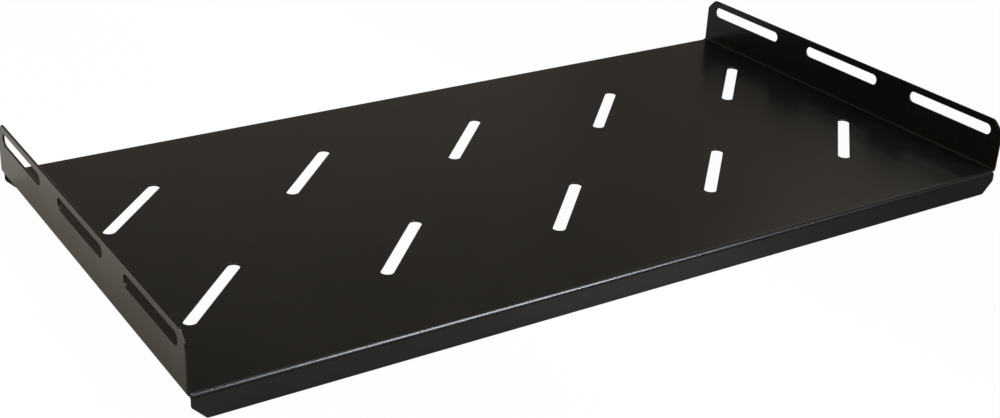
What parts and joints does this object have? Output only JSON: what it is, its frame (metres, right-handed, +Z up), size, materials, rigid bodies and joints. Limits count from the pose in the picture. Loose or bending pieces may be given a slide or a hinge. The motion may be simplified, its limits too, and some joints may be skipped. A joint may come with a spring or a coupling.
{
  "type": "rack shelf",
  "caption": "Shallow cabinet shelf folded from one steel sheet: slotted flat tray, slotted side flanges folded up, front and rear lips folded down, black powder coat.",
  "frame": {"origin": "middle of the footprint, on the ground under the two lips", "axes": "+X along the front edge to the right, +Y from the front lip to the rear lip, +Z up"},
  "size_m": [0.488, 0.25, 0.0418],
  "materials": {
    "black_powder_coat": "fine satin black powder coat over steel"
  },
  "bodies": {
    "root": {"shelf": "black_powder_coat"}
  },
  "joints": []
}
